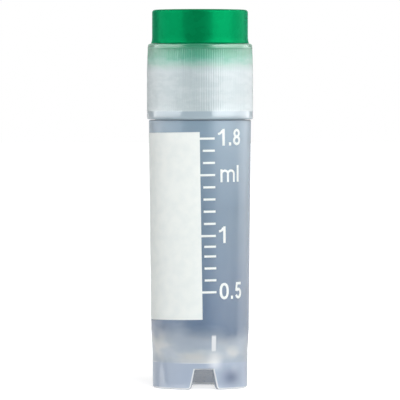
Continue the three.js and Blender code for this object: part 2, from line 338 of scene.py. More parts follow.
shoulder_light_share = over(plastic, axes["Z"], SHOULDER_SPAN, kind="LINEAR")
wall_colour = blend(plastic, shoulder_light_share, MIDDLE_TINT, SHOULDER_LIGHT_TINT)
low_share = over(plastic, axes["Z"], LOW_SPAN, kind="LINEAR")
wall_colour = blend(plastic, low_share, wall_colour, LOW_TINT)
flow_share = spread(plastic, flow, 0.35, 0.75, 0.0, FLOW_LINE_SHARE)
wall_colour = blend(plastic, flow_share, wall_colour, FLOW_LINE_TINT)

# It looks milky, in drifting clouds, where it is thick round the bottom of the chamber. The milk
# lies a little askew, and the thin skirt of the foot below it is plain.
MILK_SPAN = (8.1, 4.9)
MILK_DRIFT = 4.0
MILK_TILT = 0.1
DIM_MILK = (0.47, 0.55, 0.64, 1)
BRIGHT_MILK = (0.7, 0.72, 0.7, 1)
SKIRT_SPAN = (3.35, 3.15)
SKIRT_TINT = (0.42, 0.505, 0.64, 1)

drift = calc(plastic, "MULTIPLY", calc(plastic, "SUBTRACT", cloud, 0.5), MILK_DRIFT * MM)
level = calc(plastic, "ADD", calc(plastic, "MULTIPLY_ADD", axes["X"], MILK_TILT, axes["Z"]), drift)
milky = both(
    plastic,
    over(plastic, level, MILK_SPAN),
    spread(plastic, cloud, 0.3, 0.6, 0.78, 1.0),
)
milk_colour = blend(plastic, spread(plastic, cloud, 0.4, 0.7), DIM_MILK, BRIGHT_MILK)
wall_colour = blend(plastic, milky, wall_colour, milk_colour)
wall_colour = blend(plastic, over(plastic, axes["Z"], SKIRT_SPAN), wall_colour, SKIRT_TINT)

# Over each notch there is a painted glint, a light upright streak, with a painted glow below it.
# The foot has a soft painted shade right of its front notch. Each is given as sides, in millimetres
# right of the notch's middle, heights above the floor, and how softly the sides and the heights
# end. The shade's two spans along X and Y keep it off the other notches.
NOTCH_COUNT = 3
PAINTED_GLINT = ((0.92, 1.44), (4.7, 6.6), (0.08, 0.15))
PAINTED_GLINT_GLOW = ((0.7, 2.0), (2.6, 4.6), (0.7, 0.6))
PAINTED_GLINT_GLOW_SHARE = 0.6
FOOT_SHADE = ((2.3, 5.0), (0.5, 2.4), (1.3, 1.0))
SHADE_X_SPAN = (0.0, 1.0)
SHADE_Y_SPAN = (-1.5, -3.0)
FOOT_SHADE_SHARE = 0.95
FOOT_SHADE_TINT = (0.11, 0.15, 0.24, 1)

bearing = calc(plastic, "ARCTAN2", axes["Y"], axes["X"])
from_front = calc(plastic, "ADD", bearing, math.pi / 2)
from_notch = calc(plastic, "WRAP", from_front, math.pi / NOTCH_COUNT, -math.pi / NOTCH_COUNT)
sideways = calc(plastic, "MULTIPLY", from_notch, foot_radius * MM)


def foot_patch(sides, heights, softness):
    """1 in a patch of the foot's skin beside each notch, and 0 round it."""
    beside = band(plastic, sideways, sides, softness[0])
    return both(plastic, beside, band(plastic, axes["Z"], heights, softness[1]))


# Painted glint over each notch, with a painted glow below it.
glint = foot_patch(*PAINTED_GLINT)
glint_glow = both(plastic, foot_patch(*PAINTED_GLINT_GLOW), PAINTED_GLINT_GLOW_SHARE)
# Painted shade on the foot, right of its front notch.
shade = both(
    plastic, foot_patch(*FOOT_SHADE),
    over(plastic, axes["X"], SHADE_X_SPAN),
    over(plastic, axes["Y"], SHADE_Y_SPAN, 0.0, FOOT_SHADE_SHARE),
)

# Painted highlights lie along the edges of the notches, the bottom edge of the foot and the root
# of its wall. The cut faces of the notches are painted darker, as painted shade.
NOTCH_HEIGHT = 2.5
NOTCH_TOP_WIDTH = 2.4
NOTCH_BASE_WIDTH = 3.5
NOTCH_CORNER = 0.5
SKIN_SPAN = (foot_radius - 0.2, foot_radius - 0.12)
CUT_EDGE_SPAN = (-0.06, 0.1)
CUT_EDGE_SOFT = 0.05
CUT_FACE_SPAN = (-0.1, 0.1)
CUT_FACE_SOFT = 0.02
CUT_FACE_SHADE_TINT = (0.22, 0.28, 0.38, 1)
BOTTOM_EDGE_SPAN = (0.3, 0.16)
ROOT_LINE_SPAN = (3.22, 3.3)
ROOT_LINE_SOFT = 0.05
ROOT_LINE_SHARE = 0.7
EDGE_LIGHT = (0.93, 0.96, 0.98, 1)

# How far a place is past the edge of its notch, whose sides lean and end in rounded corners.
notch_slope = (NOTCH_BASE_WIDTH - NOTCH_TOP_WIDTH) / 2 / NOTCH_HEIGHT
rounding = over(plastic, axes["Z"], (NOTCH_CORNER, 0), kind="LINEAR")
inside_round = calc(plastic, "SUBTRACT", 1.0, calc(plastic, "MULTIPLY", rounding, rounding))
corner = calc(plastic, "SUBTRACT", 1.0, calc(plastic, "SQRT", inside_round))
slanted = calc(plastic, "MULTIPLY", axes["Z"], notch_slope)
notch_side = calc(plastic, "SUBTRACT", NOTCH_BASE_WIDTH / 2 * MM, slanted)
notch_side = calc(plastic, "ADD", notch_side, calc(plastic, "MULTIPLY", corner, NOTCH_CORNER * MM))
past_side = calc(plastic, "SUBTRACT", calc(plastic, "ABSOLUTE", sideways), notch_side)
past_top = calc(plastic, "SUBTRACT", axes["Z"], NOTCH_HEIGHT * MM)
past_edge = calc(plastic, "MAXIMUM", past_side, past_top)

skin_share = over(plastic, across, SKIN_SPAN)
under_skin = calc(plastic, "SUBTRACT", 1.0, skin_share)
cut_edge = both(plastic, skin_share, band(plastic, past_edge, CUT_EDGE_SPAN, CUT_EDGE_SOFT))
cut_face = both(plastic, under_skin, band(plastic, past_edge, CUT_FACE_SPAN, CUT_FACE_SOFT))
bottom_edge = both(plastic, skin_share, over(plastic, axes["Z"], BOTTOM_EDGE_SPAN))
root_line = both(
    plastic, band(plastic, axes["Z"], ROOT_LINE_SPAN, ROOT_LINE_SOFT),
    spread(plastic, cloud, 0.4, 0.6, 0.0, ROOT_LINE_SHARE),
)
lightest = either(plastic, glint, glint_glow, cut_edge, bottom_edge, root_line)
# The painted shade, then the painted glint, glow and edge highlights, then the cut faces' painted
# shade.
wall_colour = blend(plastic, shade, wall_colour, FOOT_SHADE_TINT)
wall_colour = blend(plastic, lightest, wall_colour, EDGE_LIGHT)
wall_colour = blend(plastic, cut_face, wall_colour, CUT_FACE_SHADE_TINT)

# The inside of the chamber is painted darker, as painted shade, milky in its round bottom, and
# painted pale under the floor, as painted light. The veil says how much each wall hides: the
# outside more than the inside, and most at the foot.
INNER_WALL_SPAN = (5.15, 4.95)
BORE_SHADE_TINT = (0.08, 0.14, 0.25, 1)
BORE_BOTTOM_TINT = (0.5, 0.57, 0.64, 1)
BORE_BOTTOM_SPAN = (5.6, 4.8)
UNDERSIDE_LIGHT_TINT = (0.85, 0.9, 0.95, 1)
UNDERSIDE_SPAN = (4.0, 3.4)
SKIRT_VEIL = 0.82
WALL_VEIL = 0.68
WALL_VEIL_SPAN = (3.2, 4.2)
SHADE_VEIL = 0.98
SHADE_VEIL_FULL = 0.9
CUT_FACE_VEIL = 0.85
BORE_VEIL = 0.2
BORE_BOTTOM_VEIL = 0.36
BORE_BOTTOM_VEIL_SPAN = (8.2, 6.2)
UNDERSIDE_VEIL = 0.15
MOUTH_VEIL = 0.6
MOUTH_VEIL_SPAN = (33.0, 34.0)

inner = over(plastic, across, INNER_WALL_SPAN)
# Painted shade in the bore, milky at its round bottom.
bore_colour = blend(plastic, over(plastic, level, BORE_BOTTOM_SPAN), BORE_SHADE_TINT, BORE_BOTTOM_TINT)
# Painted light on the underside, inside the foot.
underside_light_share = over(plastic, axes["Z"], UNDERSIDE_SPAN)
bore_colour = blend(plastic, underside_light_share, bore_colour, UNDERSIDE_LIGHT_TINT)
outer_veil = over(plastic, axes["Z"], WALL_VEIL_SPAN, SKIRT_VEIL, WALL_VEIL)
outer_veil = spread(plastic, shade, 0.0, SHADE_VEIL_FULL, outer_veil, SHADE_VEIL)
outer_veil = either(plastic, outer_veil, both(plastic, cut_face, CUT_FACE_VEIL))
inner_veil = over(plastic, axes["Z"], BORE_BOTTOM_VEIL_SPAN, BORE_VEIL, BORE_BOTTOM_VEIL)
inner_veil = over(plastic, axes["Z"], UNDERSIDE_SPAN, inner_veil, UNDERSIDE_VEIL)
inner_veil = over(plastic, axes["Z"], MOUTH_VEIL_SPAN, inner_veil, MOUTH_VEIL)
feed(plastic, surface, {
    "Base Color": blend(plastic, inner, wall_colour, bore_colour),
    "Alpha": spread(plastic, inner, 0.0, 1.0, outer_veil, inner_veil),
    "Roughness": spread(plastic, flow, 0.3, 0.7, 0.3, 0.38),
    "Normal": bumped(plastic, noise(plastic, place, 5000.0), 0.25),
    "IOR": POLYPROPYLENE_IOR,
    "Specular IOR Level": 0.45,
})


def shape_tree(name, sizes):
    """A new Geometry Nodes tree with an input for each named size: the tree, its inputs and its
    end."""
    kinds = {
        int: "NodeSocketInt",
        float: "NodeSocketFloat",
        bpy.types.Material: "NodeSocketMaterial",
    }
    group = bpy.data.node_groups.new(name, "GeometryNodeTree")
    for way in ("INPUT", "OUTPUT"):
        group.interface.new_socket("Geometry", in_out=way, socket_type="NodeSocketGeometry")
    for size, value in sizes.items():
        group.interface.new_socket(size, in_out="INPUT", socket_type=kinds[type(value)])
    return group, group.nodes.new("NodeGroupInput").outputs, group.nodes.new("NodeGroupOutput")


def close_tree(group, end, geometry, material):
    """Ends a tree in Realize Instances and Set Material."""
    real = add(group, "GeometryNodeRealizeInstances", {"Geometry": geometry}).outputs[0]
    painted = add(group, "GeometryNodeSetMaterial", {"Geometry": real, "Material": material})
    group.links.new(painted.outputs[0], end.inputs[0])


def shaped(made, group, sizes):
    """Runs a Geometry Nodes tree on an object at these sizes and keeps the result as plain mesh."""
    modifier = made.modifiers.new(group.name, "NODES")
    modifier.node_group = group
    for item in group.interface.items_tree:
        if item.in_out == "INPUT" and item.name in sizes:
            modifier[item.identifier] = sizes[item.name]
    settle(made)


def own_place(group):
    """Where each point of a shape is, for a Geometry Nodes tree."""
    return add(group, "GeometryNodeInputPosition").outputs[0]


def moved(group, geometry, x, y, z, selection=True):
    """A geometry with its selected points moved to other places."""
    place = add(group, "ShaderNodeCombineXYZ", {"X": x, "Y": y, "Z": z}).outputs[0]
    values = {"Geometry": geometry, "Selection": selection, "Position": place}
    return add(group, "GeometryNodeSetPosition", values).outputs[0]


def wound(group, geometry, radius, turn, height):
    """A geometry with its points wound round the vial's upright middle line."""
    x = calc(group, "MULTIPLY", radius, calc(group, "COSINE", turn))
    y = calc(group, "MULTIPLY", radius, calc(group, "SINE", turn))
    return moved(group, geometry, x, y, height)


# The thread's ridge is drawn straight, then wound up its helix, and it sinks into the wall at
# both ends.
THREAD_PITCH = 2.8
THREAD_DEPTH = 0.43
THREAD_ROOT = 1.15
THREAD_CREST = 0.5
THREAD_SINK = 0.1
THREAD_RUN_OUT = 0.08
THREAD_LEAST_RISE = 0.08
THREAD_COLUMNS = 13
THREAD_STEPS = 144
NECK_THREAD_START = 1.15
NECK_THREAD_TURNS = 1.5

thread_sizes = {
    "Wall Radius": neck_radius * MM,
    "Side": 1.0,
    "Start Height": (SHOULDER_HEIGHT + NECK_THREAD_START) * MM,
    "Start Turn": 0.0,
    "Turns": NECK_THREAD_TURNS,
    "Pitch": THREAD_PITCH * MM,
    "Depth": THREAD_DEPTH * MM,
    "Root Width": THREAD_ROOT * MM,
    "Crest Width": THREAD_CREST * MM,
    "Sink": THREAD_SINK * MM,
    "Run Out": THREAD_RUN_OUT,
    "Steps": THREAD_STEPS,
    "Material": natural_plastic,
}
thread, size, thread_end = shape_tree("screw_thread", thread_sizes)
bar = add(thread, "GeometryNodeMeshCube", {
    "Size": (1, 1, 1),
    "Vertices X": THREAD_COLUMNS,
    "Vertices Y": 2,
    "Vertices Z": size["Steps"],
})
spot = axes_of(thread, own_place(thread))
along = calc(thread, "MULTIPLY", calc(thread, "ADD", spot["Z"], 0.5), size["Turns"])
to_end = calc(thread, "MINIMUM", along, calc(thread, "SUBTRACT", size["Turns"], along))
grown = spread(thread, to_end, 0.0, size["Run Out"], THREAD_LEAST_RISE)
crest_share = calc(thread, "DIVIDE", size["Crest Width"], size["Root Width"])
flank = calc(thread, "SUBTRACT", 0.5, calc(thread, "MULTIPLY", crest_share, 0.5))
from_edge = calc(thread, "SUBTRACT", 0.5, calc(thread, "ABSOLUTE", spot["X"]))
raised = spread(thread, from_edge, 0.0, flank, THREAD_LEAST_RISE)
lift = both(thread, raised, calc(thread, "ADD", spot["Y"], 0.5), grown)
full = calc(thread, "ADD", size["Depth"], size["Sink"])
stand = calc(thread, "SUBTRACT", calc(thread, "MULTIPLY", lift, full), size["Sink"])
radius = calc(thread, "ADD", size["Wall Radius"], calc(thread, "MULTIPLY", stand, size["Side"]))
turn = calc(thread, "MULTIPLY", calc(thread, "ADD", size["Start Turn"], along), 2 * math.pi)
rise = calc(thread, "ADD", size["Start Height"], calc(thread, "MULTIPLY", size["Pitch"], along))
rise = calc(thread, "ADD", rise, calc(thread, "MULTIPLY", spot["X"], size["Root Width"]))
ridge = wound(thread, bar.outputs["Mesh"], radius, turn, rise)
close_tree(thread, thread_end, ridge, size["Material"])


def thread_ridge(sizes):
    """A screw thread's ridge, ready to be joined to its wall."""
    made = finished("ridge", bmesh.new())
    shaped(made, thread, sizes)
    return made


# A notch's cutter reaches past the wall of the foot, inwards, outwards and downwards.
NOTCH_TOP_ROUND = 0.12
NOTCH_BREAK = 0.07
CUTTER_INSIDE = 0.4
CUTTER_OUTSIDE = 1
CUTTER_BELOW = 1


def notch_cutter(turn):
    """A notch's cutter. It narrows towards the axis, so that the cut's sides are radial, and it
    widens just outside the foot, so that the cut's outer edge is broken."""
    top = NOTCH_TOP_ROUND
    base_side = NOTCH_BASE_WIDTH / 2 + NOTCH_CORNER
    base_round = arc(base_side, NOTCH_CORNER, NOTCH_CORNER, 270, 180, 6)
    right = [(base_side, -CUTTER_BELOW), *[(x - notch_slope * z, z) for x, z in base_round]]
    right += arc(NOTCH_TOP_WIDTH / 2 - top, NOTCH_HEIGHT - top, top, 0, 90, 4)
    outline = right + [(-x, z) for x, z in reversed(right)]
    form = bmesh.new()
    rows = []
    stations = [
        (foot_inside - CUTTER_INSIDE, 0),
        (foot_radius - NOTCH_BREAK, 0),
        (foot_radius + NOTCH_BREAK, 2 * NOTCH_BREAK),
        (foot_radius + CUTTER_OUTSIDE, 2 * NOTCH_BREAK),
    ]
    for out, broken in stations:
        row = []
        for x, z in outline:
            side = math.copysign(broken, x) + x * out / foot_radius
            up = z + (broken if z > NOTCH_HEIGHT / 2 else 0)
            around = turn + math.atan2(side, out)
            row.append(form.verts.new((
                out * math.cos(around) * MM, out * math.sin(around) * MM, up * MM,
            )))
        rows.append(row)
    for near, far in zip(rows, rows[1:]):
        for i in range(len(outline)):
            j = (i + 1) % len(outline)
            form.faces.new((near[i], near[j], far[j], far[i]))
    form.faces.new(rows[0])
    form.faces.new(rows[-1])
    return finished("cutter", form)


combine(tube, thread_ridge(thread_sizes), "UNION")
for i in range(NOTCH_COUNT):
    combine(tube, notch_cutter(2 * math.pi * i / NOTCH_COUNT - math.pi / 2), "DIFFERENCE")
dress(tube, natural_plastic)
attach(tube, "vial")
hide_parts("vial_body")

# ---------------------------------------------------------------- printed scale
# White ink, screen printed on the tube: a patch to write on and a scale with a mark every tenth
# of a millilitre. The ink is a matt film that stands just proud of the plastic.

PRINT_TOP = 31.3
PRINT_BEARING = math.radians(-95.27)
PRINT_TILT = math.radians(0.93)
PRINT_RADIUS = 6.15
PRINT_STEP = 0.13
PATCH_WIDTH = 10.2
PATCH_HEIGHT = 22.75
INK_LIFT = 0.006
INK_THICKNESS = 0.02
FIRST_MARK = 0.8
MARK_STEPS = [1.476] * 8 + [1.3, 1.18] + [1.45] * 3
LONG_MARKS = (0, 3, 8, 13)
LONG_MARK_START = -0.2
MARK_START = 0.33
MARK_END = 1.8
MARK_WIDTH = 0.265
FIGURE_START = 2.2
FIGURE_DROP = 0.9
FIGURE_HEIGHT = 2.03
FIGURE_STROKE = 0.325
FINE_STROKE = 0.27


def strokes_of_one():
    """The figure 1: a stem with a short flag at its top left."""
    stem = [(0.745, 0), (0.745, FIGURE_HEIGHT)]
    flag = [(0.02, 1.43), (0.2, 1.46), (0.38, 1.55), (0.5, 1.69), (0.58, 1.86)]
    return [(stem, FIGURE_STROKE), (flag, FINE_STROKE)]


def strokes_of_eight():
    """The figure 8: two loops, the upper one smaller."""
    lower = arc(0.615, 0.605, 0.445, 90, 450, 36, rise=0.435)
    upper = arc(0.615, 1.465, 0.39, 90, 450, 36, rise=0.395)
    return [(lower, FIGURE_STROKE - 0.01), (upper, FIGURE_STROKE - 0.02)]


def strokes_of_nought():
    """The figure 0: one upright oval with flat sides."""
    oval = []
    points = 48
    for i in range(points + 1):
        a = 2 * math.pi * i / points
        side = math.copysign(abs(math.cos(a)) ** 0.82, math.cos(a))
        end = math.copysign(abs(math.sin(a)) ** 0.9, math.sin(a))
        oval.append((0.66 + 0.485 * side, 1.0 + 0.835 * end))
    return [(oval, FIGURE_STROKE)]


def strokes_of_five():
    """The figure 5: a bar, a short slanted side and a bowl."""
    bar = [(0.2, 1.86), (1.1, 1.86)]
    side = [(0.33, 1.95), (0.2, 0.95)]
    bowl = arc(0.58, 0.66, 0.425, 140, -158, 28, rise=0.5)
    return [(bar, 0.32), (side, 0.3), (bowl, FIGURE_STROKE)]


def strokes_of_point():
    """A decimal point."""
    return [([(0.175, 0), (0.175, 0.4)], FIGURE_STROKE)]


def strokes_of_m():
    """The letter m: three stems and two arches."""
    stems = [[(0.22, 0), (0.22, 1.56)], [(1.11, 0), (1.11, 1.05)], [(2.0, 0), (2.0, 1.05)]]
    arches = [arc(x, 1.03, 0.445, 180, 0, 20, rise=0.37) for x in (0.665, 1.555)]
    return [(stroke, FINE_STROKE) for stroke in stems + arches]


def strokes_of_l():
    """The letter l: one stem."""
    return [([(0.175, 0), (0.175, FIGURE_HEIGHT)], FIGURE_STROKE)]


# The figures that stand beside some of the marks, and how far right each one is moved.
LABELS = {
    0: [(strokes_of_one, 0), (strokes_of_point, 1.47), (strokes_of_eight, 2.1)],
    3: [(strokes_of_m, 0.2), (strokes_of_l, 2.68)],
    8: [(strokes_of_one, 0)],
    13: [(strokes_of_nought, 0), (strokes_of_point, 1.64), (strokes_of_five, 2.33)],
}

strokes = [([(-PATCH_WIDTH, -PATCH_HEIGHT / 2), (0, -PATCH_HEIGHT / 2)], PATCH_HEIGHT)]
height = -FIRST_MARK
for number, step in enumerate([0] + MARK_STEPS):
    height -= step
    begin = LONG_MARK_START if number in LONG_MARKS else MARK_START
    strokes.append(([(begin, height), (MARK_END, height)], MARK_WIDTH))
    for figure, start in LABELS.get(number, []):
        for line, width in figure():
            placed = [(FIGURE_START + start + x, height - FIGURE_DROP + y) for x, y in line]
            strokes.append((placed, width))

# Each stroke is a line of points that knows its stroke's width.
form = bmesh.new()
width_of = form.verts.layers.float.new("stroke_width")
for line, width in strokes:
    spots = []
    closed = math.dist(line[0], line[-1]) < SAME_POINT
    for u, v in line[:-1] if closed else line:
        spot = form.verts.new((u * MM, v * MM, 0))
        spot[width_of] = width * MM
        spots.append(spot)
    for first, second in zip(spots, spots[1:] + (spots[:1] if closed else [])):
        form.edges.new((first, second))
print_piece = finished("printed_scale", form)

# The ink: matt, a faintly green white, and a little uneven where it went on thin.
INK_WHITE = (0.86, 0.9, 0.875, 1)
THIN_INK_WHITE = (0.81, 0.86, 0.845, 1)

white_ink, ink, ink_surface, place = material_tree("white_ink")
uneven = noise(ink, place, 900.0, 4.0)
feed(ink, ink_surface, {
    "Base Color": blend(ink, spread(ink, uneven, 0.3, 0.75), INK_WHITE, THIN_INK_WHITE),
    "Roughness": spread(ink, uneven, 0.3, 0.7, 0.52, 0.64),
    "Normal": bumped(ink, noise(ink, place, 9000.0), 0.35),
    "Specular IOR Level": 0.3,
})

# The strokes are given their width, joined into one film, tilted as the print is, and wrapped
# round the tapering tube.
print_sizes = {
    "Step": PRINT_STEP * MM,
    "Ink Thickness": INK_THICKNESS * MM,
    "Lift": INK_LIFT * MM,
    "Tilt": PRINT_TILT,
    "Bearing": PRINT_BEARING,
    "Print Radius": PRINT_RADIUS * MM,
    "Top": PRINT_TOP * MM,
    "Shoulder Height": SHOULDER_HEIGHT * MM,
    "Shoulder Radius": TUBE_RADIUS * MM,
    "Taper": OUTSIDE_SLOPE,
    "Material": white_ink,
}
printing, size, printing_end = shape_tree("screen_print", print_sizes)
drawn = printing.nodes["Group Input"].outputs["Geometry"]
lines = add(printing, "GeometryNodeMeshToCurve", {0: drawn}).outputs[0]
fine = add(printing, "GeometryNodeResampleCurve", {
    "Curve": lines, "Length": size["Step"],
}, mode="LENGTH").outputs[0]
upright = add(printing, "GeometryNodeSetCurveNormal", {"Curve": fine}, mode="Z_UP").outputs[0]
nib = add(printing, "GeometryNodeCurvePrimitiveQuadrilateral", {
    "Width": 1.0, "Height": 1.0,
}, mode="RECTANGLE").outputs[0]
wide = add(printing, "GeometryNodeInputNamedAttribute", {
    "Name": "stroke_width",
}, data_type="FLOAT").outputs[0]
ribbon = add(printing, "GeometryNodeCurveToMesh", {
    "Curve": upright, "Profile Curve": nib, "Scale": wide, "Fill Caps": True,
}).outputs[0]
spot = axes_of(printing, own_place(printing))
half_film = calc(printing, "MULTIPLY", size["Ink Thickness"], 0.5)
film = calc(printing, "MULTIPLY", calc(printing, "SIGN", spot["Z"]), half_film)
flat = moved(printing, ribbon, spot["X"], spot["Y"], film)
joined = add(printing, "GeometryNodeMeshBoolean", {
    "Mesh 2": flat, "Self Intersection": True,
}, operation="UNION", solver="EXACT").outputs[0]
tilted = add(printing, "ShaderNodeVectorRotate", {
    "Vector": own_place(printing), "Angle": size["Tilt"],
}, rotation_type="Z_AXIS").outputs[0]
spot = axes_of(printing, tilted)
up = calc(printing, "ADD", size["Top"], spot["Y"])
below = calc(printing, "SUBTRACT", size["Shoulder Height"], up)
narrowed = calc(printing, "MULTIPLY", below, size["Taper"])
wall = calc(printing, "SUBTRACT", size["Shoulder Radius"], narrowed)
proud = calc(printing, "ADD", spot["Z"], half_film)
radius = calc(printing, "ADD", calc(printing, "ADD", wall, size["Lift"]), proud)
turn = calc(printing, "DIVIDE", spot["X"], size["Print Radius"])
turn = calc(printing, "ADD", size["Bearing"], turn)
wrapped = wound(printing, joined, radius, turn, up)
close_tree(printing, printing_end, wrapped, size["Material"])
shaped(print_piece, printing, print_sizes)
dress(print_piece, white_ink)
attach(print_piece, "vial")

# ---------------------------------------------------------------- cap shell
# The cap's outer shell is moulded from the same natural plastic, thinner and with a frosted look.
# Its skirt has a plain ring at the bottom, a belt of fine grip ribs above it and an inside thread.

shell_low, shell_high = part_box("cap_shell")
SHELL_RADIUS = shell_high.x / MM
SHELL_BOTTOM = shell_low.z / MM
SHELL_TOP = shell_high.z / MM
SKIRT_WALL = 0.61
SHELL_EDGE_ROUND = 0.15
SHELL_TOP_ROUND = 0.3
SHELL_TAPER = 0.11
SHELL_TAPER_LENGTH = 3.4
MOUTH_CHAMFER = 0.15
PLAIN_RING_HEIGHT = 1.0
RIB_COUNT = 136
RIB_DEPTH = 0.04
RIB_SINK = 0.015
RIB_SHARPNESS = 4.0
RIB_TOP_MARGIN = 0.3
RIB_FADE = 0.08
BELT_ROWS = (35, 36.2, 37.4)
TAPER_ROWS = (39.6, 40.5)
INSIDE_ROWS = (38.6, 36.6, 34.6)
WEB_THICKNESS = 1.0
WEB_LEDGE = 0.82
WEB_FILLET = 0.15
WEB_CHAMFER = 0.06
CAP_THREAD_START = 0.85
CAP_THREAD_TOP = 2.0
THREAD_SHIFT = 0.12
FACETS_PER_RIB = 8


def shell_radius_at(z):
    """The shell's outside radius at a height. Its upper part narrows a little towards the top."""
    taper = min(max((z - SHELL_TOP + SHELL_TAPER_LENGTH) / SHELL_TAPER_LENGTH, 0), 1)
    return SHELL_RADIUS - SHELL_TAPER * taper


skirt_inside = SHELL_RADIUS - SKIRT_WALL
web_bottom = SHELL_TOP - WEB_THICKNESS
web_hole = skirt_inside - WEB_LEDGE
rib_bottom = SHELL_BOTTOM + PLAIN_RING_HEIGHT
rib_top = SHELL_TOP - SHELL_TOP_ROUND - RIB_TOP_MARGIN
fade_steps = [RIB_FADE * share for share in (0, 0.25, 0.5, 0.75, 1)]
rib_rows = [rib_bottom + up for up in fade_steps]
rib_rows += [*BELT_ROWS, SHELL_TOP - SHELL_TAPER_LENGTH, *TAPER_ROWS]
rib_rows += [rib_top - down for down in reversed(fade_steps)]
top_radius = shell_radius_at(SHELL_TOP) - SHELL_TOP_ROUND
round_edge = SHELL_EDGE_ROUND
fillet = WEB_FILLET

shell_section = [
    (skirt_inside + MOUTH_CHAMFER, SHELL_BOTTOM),
    *arc(SHELL_RADIUS - round_edge, SHELL_BOTTOM + round_edge, round_edge, -90, 0, 6),
    *[(shell_radius_at(z), z) for z in rib_rows],
    *arc(top_radius, SHELL_TOP - SHELL_TOP_ROUND, SHELL_TOP_ROUND, 0, 90, 6),
    (web_hole + WEB_CHAMFER, SHELL_TOP),
    (web_hole, SHELL_TOP - WEB_CHAMFER),
    (web_hole, web_bottom),
    *arc(skirt_inside - fillet, web_bottom - fillet, fillet, 90, 0, 4),
    *[(skirt_inside, z) for z in INSIDE_ROWS],
    (skirt_inside, SHELL_BOTTOM + MOUTH_CHAMFER),
]
shell = turned("cap_skirt", shell_section, RIB_COUNT * FACETS_PER_RIB, ring=True)

# The frosted plastic is cloudy, with wisps that lie flat round the skirt, and the plain ring is
# bluer and glossier. The insert's green, as light scattered through the skirt where its disc lies
# against the inside, is painted into the skirt's colour as a glow, and dies away below it.
FROST_TINT = (0.485, 0.575, 0.6, 1)
WISP_TINT = (0.56, 0.645, 0.665, 1)
RING_TINT = (0.41, 0.52, 0.59, 1)
RING_SPAN = (rib_bottom + 0.1, rib_bottom - 0.1)
GLOW_TINT = (0.06, 0.36, 0.25, 1)
GLOW_SPAN = (38.4, 40.5)
DEEP_GLOW_TINT = (0.005, 0.25, 0.12, 1)
DEEP_GLOW_SPAN = (40.0, 41.8)
GLOW_DRIFT = 1.2
TOP_LINE_SPAN = (SHELL_TOP - 0.36, SHELL_TOP - 0.24)
TOP_LINE_SOFT = 0.03
PLAIN_ROUGHNESS = 0.13
FROST_WALL_SPAN = (6.0, 6.2)
FROST_INSIDE_VEIL = 0.4
FROST_OUTSIDE_VEIL = 0.8

frosted_plastic, frost, frost_surface, place = material_tree("frosted_polypropylene")
axes = axes_of(frost, place)
cloud = noise(frost, place, 560.0, 3.0, stretch=(1, 1, 2.6))
frost_colour = blend(frost, spread(frost, cloud, 0.36, 0.62), FROST_TINT, WISP_TINT)
ring = over(frost, axes["Z"], RING_SPAN)
frost_colour = blend(frost, ring, frost_colour, RING_TINT)
# Painted glow: the insert's green light seen through the skirt.
drift = calc(frost, "MULTIPLY", calc(frost, "SUBTRACT", cloud, 0.5), GLOW_DRIFT * MM)
level = calc(frost, "ADD", axes["Z"], drift)
frost_colour = blend(frost, over(frost, level, GLOW_SPAN), frost_colour, GLOW_TINT)
deep_glow = over(frost, level, DEEP_GLOW_SPAN, kind="LINEAR")
frost_colour = blend(frost, deep_glow, frost_colour, DEEP_GLOW_TINT)

reach = from_axis(frost, axes)
top_line = band(frost, axes["Z"], TOP_LINE_SPAN, TOP_LINE_SOFT)
grip_roughness = spread(frost, cloud, 0.3, 0.7, 0.28, 0.36)
plain_share = either(frost, ring, top_line)
feed(frost, frost_surface, {
    "Base Color": frost_colour,
    "Alpha": over(frost, reach, FROST_WALL_SPAN, FROST_INSIDE_VEIL, FROST_OUTSIDE_VEIL),
    "Roughness": spread(frost, plain_share, 0.0, 1.0, grip_roughness, PLAIN_ROUGHNESS),
    "Normal": bumped(frost, noise(frost, place, 4000.0), 0.2),
    "IOR": POLYPROPYLENE_IOR,
    "Specular IOR Level": 0.7,
})

# The ribs: a wave round the skirt that dies away at both ends of the belt.
rib_sizes = {
    "Ribs": RIB_COUNT,
    "Depth": RIB_DEPTH * MM,
    "Crest Sink": RIB_SINK * MM,
    "Bottom": rib_bottom * MM,
    "Top": rib_top * MM,
    "Fade": RIB_FADE * MM,
    "Inner Limit": (skirt_inside + SKIRT_WALL / 2) * MM,
    "Material": frosted_plastic,
}
ribbing, size, ribbing_end = shape_tree("grip_ribs", rib_sizes)
plain = ribbing.nodes["Group Input"].outputs["Geometry"]
spot = axes_of(ribbing, own_place(ribbing))
reach = from_axis(ribbing, spot)
bearing = calc(ribbing, "ARCTAN2", spot["Y"], spot["X"])
wave = calc(ribbing, "COSINE", calc(ribbing, "MULTIPLY", bearing, size["Ribs"]))
groove = calc(ribbing, "POWER", calc(ribbing, "MULTIPLY_ADD", wave, -0.5, 0.5), RIB_SHARPNESS)
above_bottom = calc(ribbing, "SUBTRACT", spot["Z"], size["Bottom"])
below_top = calc(ribbing, "SUBTRACT", size["Top"], spot["Z"])
to_end = calc(ribbing, "MINIMUM", above_bottom, below_top)
in_belt = spread(ribbing, to_end, 0.0, size["Fade"])
cut = calc(ribbing, "SUBTRACT", size["Depth"], size["Crest Sink"])
deep = calc(ribbing, "MULTIPLY_ADD", groove, cut, size["Crest Sink"])
drawn_in = calc(ribbing, "DIVIDE", calc(ribbing, "MULTIPLY", deep, in_belt), reach)
kept = calc(ribbing, "SUBTRACT", 1.0, drawn_in)
outside = add(ribbing, "FunctionNodeCompare", {
    "A": reach, "B": size["Inner Limit"],
}, operation="GREATER_THAN").outputs[0]
ribbed_x = calc(ribbing, "MULTIPLY", spot["X"], kept)
ribbed_y = calc(ribbing, "MULTIPLY", spot["Y"], kept)
ribbed = moved(ribbing, plain, ribbed_x, ribbed_y, spot["Z"], selection=outside)
close_tree(ribbing, ribbing_end, ribbed, size["Material"])
shaped(shell, ribbing, rib_sizes)

